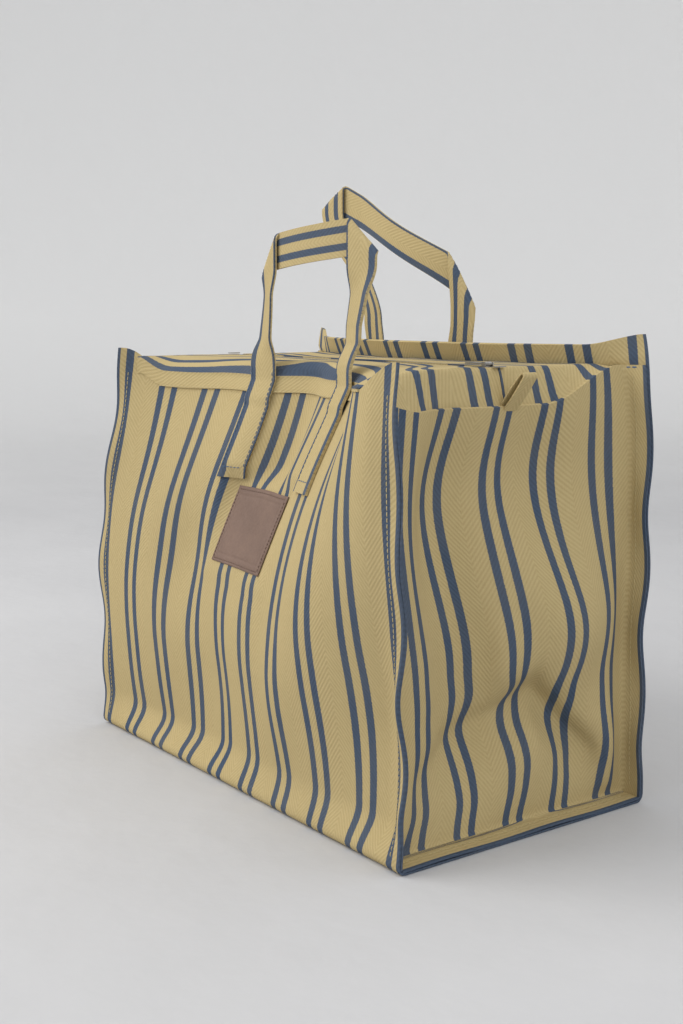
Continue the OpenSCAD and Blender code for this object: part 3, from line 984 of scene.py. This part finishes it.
for side, word in SIDES:
    face, flat, keep = deck_grid(side)
    deck = dress(cloth_mesh(word + "_deck_cloth", face, flat, CLOTH, keep), "deck_cloth", "bag",
                 [word + "_zip_panel"])
    for span, (x0, x1) in SPANS.items():
        flap = cloth_mesh(f"{word}_flap_{span}", *flap_grid(side, x0, x1))
        tape = cloth_mesh(f"{word}_tape_{span}", *tape_grid(side, x0, x1), thick=0.6)
        teeth = boxes_mesh(f"{word}_teeth_{span}", teeth_centres(side, x0, x1), TOOTH, TOOTH_ROUND)
        for obj, look, part in ((flap, "deck_cloth", "_mouth_flap"), (tape, "zipper_tape", "_zipper_tape"),
                                (teeth, "zipper_teeth", "_zipper_teeth")):
            dress(obj, look, replaces=[word + part] if span == "middle" else ())
            swing_with_flap(obj, side, span)


TAB_W, TAB_LONG = 15, 36.0
TAB_TILT = math.radians(50)  # how steeply the tabs stand up


def tab_mesh(name, end):
    """A short strip folded back on itself and sewn to the top of a gusset"""
    foot = gusset_edge(end, np.array(0.0))
    out = np.array([end * math.cos(TAB_TILT), math.sin(TAB_TILT)])
    flank = np.array([-end * math.sin(TAB_TILT), math.cos(TAB_TILT)])
    leg = [(out * TAB_LONG * k / 9, flank * (1.5 + 0.8 * math.sin(math.pi * k / 9))) for k in range(10)]
    path = [along + aside for along, aside in leg]
    for k in range(1, 7):
        turn = math.pi * k / 7
        path.append(out * (TAB_LONG + 1.5 * math.sin(turn)) + flank * 1.5 * math.cos(turn))
    path += [along - aside for along, aside in leg[::-1]]
    path = np.array(path) + [foot[0] - end * 3.0, foot[1] - 2.0]
    y = np.linspace(-TAB_W / 2, TAB_W / 2, 7)
    face = np.stack([np.stack([np.full(7, p[0]), y * end, np.full(7, p[1])], 1) for p in path], 1)
    s = arc_lengths(face)
    return cloth_mesh(name, face, plain_flat(y[:, None] + 0 * s, s), 1.3, sharp=60)


for end, word in ENDS:
    tab = dress(tab_mesh(word + "_tab_cloth", end), "deck_cloth", "bag", [word + "_zip_tab"])

# ---- the handles ----

for side, word in SIDES:
    feet = on_side(side, np.array(LEGS[side]), 384.0)[:, 0]
    strap = strap_mesh(word + "_strap", side, feet)
    dress(strap, "strap_cloth")
    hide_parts(word + "_handle", word + "_left_handle_leg", word + "_right_handle_leg")
    y, z = HINGE[side]
    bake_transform(strap)

# ---- patch and thread ----

PATCH_T = 1.7  # thickness of the leather
PATCH_GAP = 0.4  # between the leather and the cloth
PATCH_SEWN = 3.0  # the patch's stitches and its pressed line, in from its edge
PATCH_LINE = 8.0
STITCH_BED = 0.25  # depth of the dent that stitches pull into the leather


def patch_mesh():
    """A leather patch that follows the cloth, with rounded edges and a plain pressed line"""
    u = np.linspace(-PATCH_W / 2, PATCH_W / 2, 101)
    z = np.linspace(PATCH_Z, PATCH_Z + PATCH_H, 71)
    gu, gz = np.meshgrid(u, z, indexing="ij")
    edge = np.minimum(PATCH_W / 2 - np.abs(gu), PATCH_H / 2 - np.abs(gz - PATCH_Z - PATCH_H / 2))
    rounded = -0.9 * (1 - np.sqrt(1 - (1 - np.clip(edge / 1.5, 0, 1)) ** 2))
    height = rounded - 0.45 * hump(edge, PATCH_LINE, 0.9) - STITCH_BED * hump(edge, PATCH_SEWN, 0.9)
    face = on_side(FRONT, PATCH_U + gu, gz, PATCH_GAP + PATCH_T)
    face[..., 1] -= height
    flat = np.stack([gu, gz, edge], 2)
    return cloth_mesh("leather_patch_piece", face, flat, PATCH_T + height, sharp=60)


def row_on_side(side, u, z, out):
    """A path on a long side's outside and the way out of it at each point"""
    u, z = np.broadcast_arrays(np.asarray(u, float), np.asarray(z, float))
    path = on_side(side, u, z, out)
    near, far = (on_side(side, np.clip(u + step, -HALF_LONG, HALF_LONG), z) for step in (-4, 4))
    low, high = (on_side(side, u, z + step) for step in (-4, 4))
    outward = np.cross(far - near, high - low)
    return path, outward * np.sign(outward[:, 1] * side)[:, None]


patch = dress(patch_mesh(), "leather", "bag", ["leather_patch"])
half_u, half_z = PATCH_W / 2 - PATCH_SEWN, PATCH_H / 2 - PATCH_SEWN
along_u = np.linspace(-half_u, half_u, int(2 * half_u / 3)) + PATCH_U
along_z = np.linspace(-half_z, half_z, int(2 * half_z / 3)) + PATCH_Z + PATCH_H / 2
border = [(along_u, along_z[0]), (along_u, along_z[-1]), (along_u[0], along_z), (along_u[-1], along_z)]
rows = [row_on_side(FRONT, u, z, PATCH_GAP + PATCH_T - STITCH_BED) for u, z in border]
dress(threads("patch_thread", rows, stitch=2.6, space=0.9, radius=0.36), "brown_thread", "bag",
      ["patch_stitching"])

for side, word in SIDES:
    rows = []
    top = HINGE[side][1] - 9
    foot = HINGE[side][1] - 6 - LEG_SEWN
    for leg in LEGS[side]:
        z = np.linspace(foot, top, 40)
        for edge in (-1, 1):
            u = leg + edge * (STRAP_W / 2 - 2)
            out = STRAP_T + 0.6 + over_skirt(side, z)
            path, outward = row_on_side(side, u, np.minimum(z, CLOTH_END[side]), out)
            path[:, 2] = z
            rows.append((path, outward))
        u = np.linspace(leg - STRAP_W / 2 + 2, leg + STRAP_W / 2 - 2, 10)
        rows.append(row_on_side(side, u, foot, STRAP_T + 0.6))
    dress(threads(word + "_leg_thread", rows), "blue_thread", "bag", [word + "_leg_stitching"])

rows = []
for u0, u1 in ((-205, LEGS[FRONT][0] - 17), (LEGS[FRONT][0] + 17, LEGS[FRONT][1] - 17)):
    u = np.linspace(u0, u1, int((u1 - u0) / 3))
    rows.append(row_on_side(FRONT, u, FRONT_TOP - SKIRT + 3, DOUBLE - 0.6))
dress(threads("front_top_thread", rows), "thread", "bag", ["front_top_stitching"])

SEAM_TOP = {FRONT: 376.0, BACK: 392.0}

for end, word in ENDS:
    rows = []
    for side in (FRONT, BACK):
        z = np.linspace(12, SEAM_TOP[side], 100)
        rows.append(row_on_side(side, end * SEAM_U, z, 0.0))
        path = on_side(side, end * SEAM_U, np.minimum(z, 382), -DOUBLE)[:98]
        rows.append((path, np.tile([0, -side, 0.0], (98, 1))))
    y = np.linspace(-128, 128, 70)
    path = np.stack([np.full(70, end * SEAM_U), y, LIP_Z + 0.5 * np.sin(y / 19)], 1)
    rows.append((path, np.tile([0, 0, 1.0], (70, 1))))
    dress(threads(word + "_seam_thread", rows), "thread", "bag", [word + "_seam_stitching"])

u = np.linspace(-244, 244, 160)
dress(threads("back_hem_thread", [row_on_side(BACK, u, BACK_TOP - HEM + 2, 0.0)]), "thread", "bag")
path = on_side(BACK, u, BACK_TOP - HEM + 1, -(CLOTH + 2.0))
rows = [(path, np.tile([0, -1.0, 0], (160, 1)))]
dress(threads("back_hem_edge", rows, stitch=5.0, space=0.3, radius=0.8), "blue_thread", "bag")

for name in ("zipper_slider", "zipper_pull", "zipper_stops"):
    dress(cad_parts[name], "zipper_metal")

# ---- floor, light and camera ----

def floor_mesh():
    """A pale floor that curves up into a round backdrop; away from the middle its colour is painted
    lighter, as painted light where the lamps reach it less
    """
    radius, bend, high, sides = 3.2, 1.6, 4.0, 96
    profile = [(0.0, 0.0), (0.8, 0.0), (1.6, 0.0), (radius, 0.0)]
    for turn in np.linspace(0.15, math.pi / 2, 12):
        profile.append((radius + bend * math.sin(turn), bend * (1 - math.cos(turn))))
    profile.append((radius + bend, high))
    turns = np.linspace(0, 2 * math.pi, sides, endpoint=False)
    points = [(r * math.cos(a), r * math.sin(a), z - 0.0005) for r, z in profile[1:] for a in turns]
    faces = [tuple(range(sides))]
    for k in range(len(profile) - 2):
        for n in range(sides):
            m = (n + 1) % sides
            faces.append((k * sides + n, (k + 1) * sides + n, (k + 1) * sides + m, k * sides + m))
    floor = tidy_mesh("floor", np.array(points) / MM, faces)
    paint = Paint("floor", 0.95, Specular_IOR_Level=0.1)
    soft = paint.noise(paint.place(), 3.0, 5.0)
    fine = paint.noise(paint.place(), 40.0, 4.0)
    relief = paint.plus(soft, paint.times(fine, 0.06))
    ground = paint.mix(soft, (0.52, 0.52, 0.53, 1), (0.60, 0.60, 0.61, 1))
    # painted light: the colour grows lighter with distance from the middle, making up for the lamps
    # lighting the far floor less
    away = paint.node("VectorMath", paint.place(), operation="LENGTH")
    far = paint.math("MULTIPLY_ADD", away.outputs["Value"], 0.40, -0.70, clamp=True)
    floor.data.materials.append(paint.finish(paint.mix(far, ground, (0.87, 0.87, 0.87, 1)), relief, 14))
    return floor


def area_light(name, place, size, power, colour=(1, 1, 1)):
    """A soft light that faces the bag"""
    data = bpy.data.lights.new(name, "AREA")
    data.shape = "RECTANGLE"
    data.size, data.size_y = size
    data.energy = power
    data.color = colour
    lamp = bpy.data.objects.new(name, data)
    lamp.location = place
    lamp.rotation_euler = (Vector((0, 0, 0.2)) - Vector(place)).to_track_quat("-Z", "Y").to_euler()
    bpy.context.scene.collection.objects.link(lamp)
    return lamp


floor = floor_mesh()
area_light("key", (-1.3, -2.0, 1.9), (2.2, 1.8), 54, (1.0, 0.985, 0.96))
area_light("fill", (2.6, -0.6, 1.5), (2.0, 1.6), 17, (0.96, 0.98, 1.0))
area_light("top", (0.2, 0.6, 2.6), (2.4, 2.4), 12)

world = bpy.data.worlds.new("studio")
bpy.context.scene.world = world
world.use_nodes = True
backdrop = world.node_tree.nodes["Background"].inputs
backdrop["Color"].default_value = (0.71, 0.715, 0.72, 1)
backdrop["Strength"].default_value = 0.95
bpy.context.scene.view_settings.view_transform = "Standard"

CAMERA_AT = (1.0379, -0.7758, 0.4386)
TURN, PITCH_DOWN = math.radians(53.57), math.radians(8.55)
camera_data = bpy.data.cameras.new("camera")
camera_data.lens = 48.38
camera_data.clip_end = 100
camera = bpy.data.objects.new("camera", camera_data)
camera.location = CAMERA_AT
camera.rotation_euler = (math.pi / 2 - PITCH_DOWN, 0, TURN)
bpy.context.scene.collection.objects.link(camera)
bpy.context.scene.camera = camera
